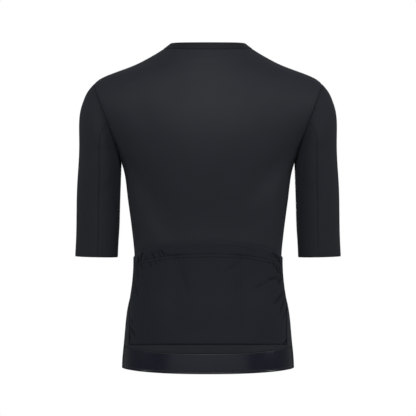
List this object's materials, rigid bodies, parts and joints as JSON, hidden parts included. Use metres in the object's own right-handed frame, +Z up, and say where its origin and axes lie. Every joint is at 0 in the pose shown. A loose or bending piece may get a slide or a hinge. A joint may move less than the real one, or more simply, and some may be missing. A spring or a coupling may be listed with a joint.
{
  "type": "cycling jersey",
  "caption": "Short-sleeved, close-fitting cycling jersey with a full front zip, a low collar and a gathered pocket panel across the lower back, filled out as if worn.",
  "frame": {"origin": "midway between the two sides of the neck, 3 mm above the points where the shoulder seams meet the collar, which is where the wearer's shoulders hold the jersey up", "axes": "+Z up, +X to the wearer's left, +Y to the wearer's back; the zip is on the -Y side"},
  "size_m": [0.518, 0.2295, 0.633],
  "materials": {
    "body_knit": "smooth fine-gauge stretch knit with a faint sheen",
    "sleeve_knit": "fine ribbed stretch knit, matt",
    "collar_knit": "folded stretch knit",
    "pocket_knit": "light stretch knit, matt",
    "hem_elastic": "smooth elastic band with a satin sheen",
    "zip_tape": "woven tape",
    "zip_coil": "moulded nylon coil",
    "zip_metal": "satin black"
  },
  "bodies": {
    "garment": {"back_panel": "body_knit", "front_panel_left": "body_knit", "front_panel_right": "body_knit", "sleeve_left": "sleeve_knit", "sleeve_right": "sleeve_knit", "collar": "collar_knit", "hem_band": "hem_elastic", "pocket_panel": "pocket_knit", "zip_tape_left": "zip_tape", "zip_tape_right": "zip_tape", "zip_chain": "zip_coil", "zip_slider": "zip_metal"},
    "pull_tab": {"zip_pull_tab": "zip_metal"}
  },
  "joints": [
    {"name": "pull_tab_swing", "type": "hinge", "parent": "garment", "child": "pull_tab", "pos_m": [0, -0.06961, -0.04209], "axis": [-1, 0, 0], "range_deg": [0, 165]}
  ]
}
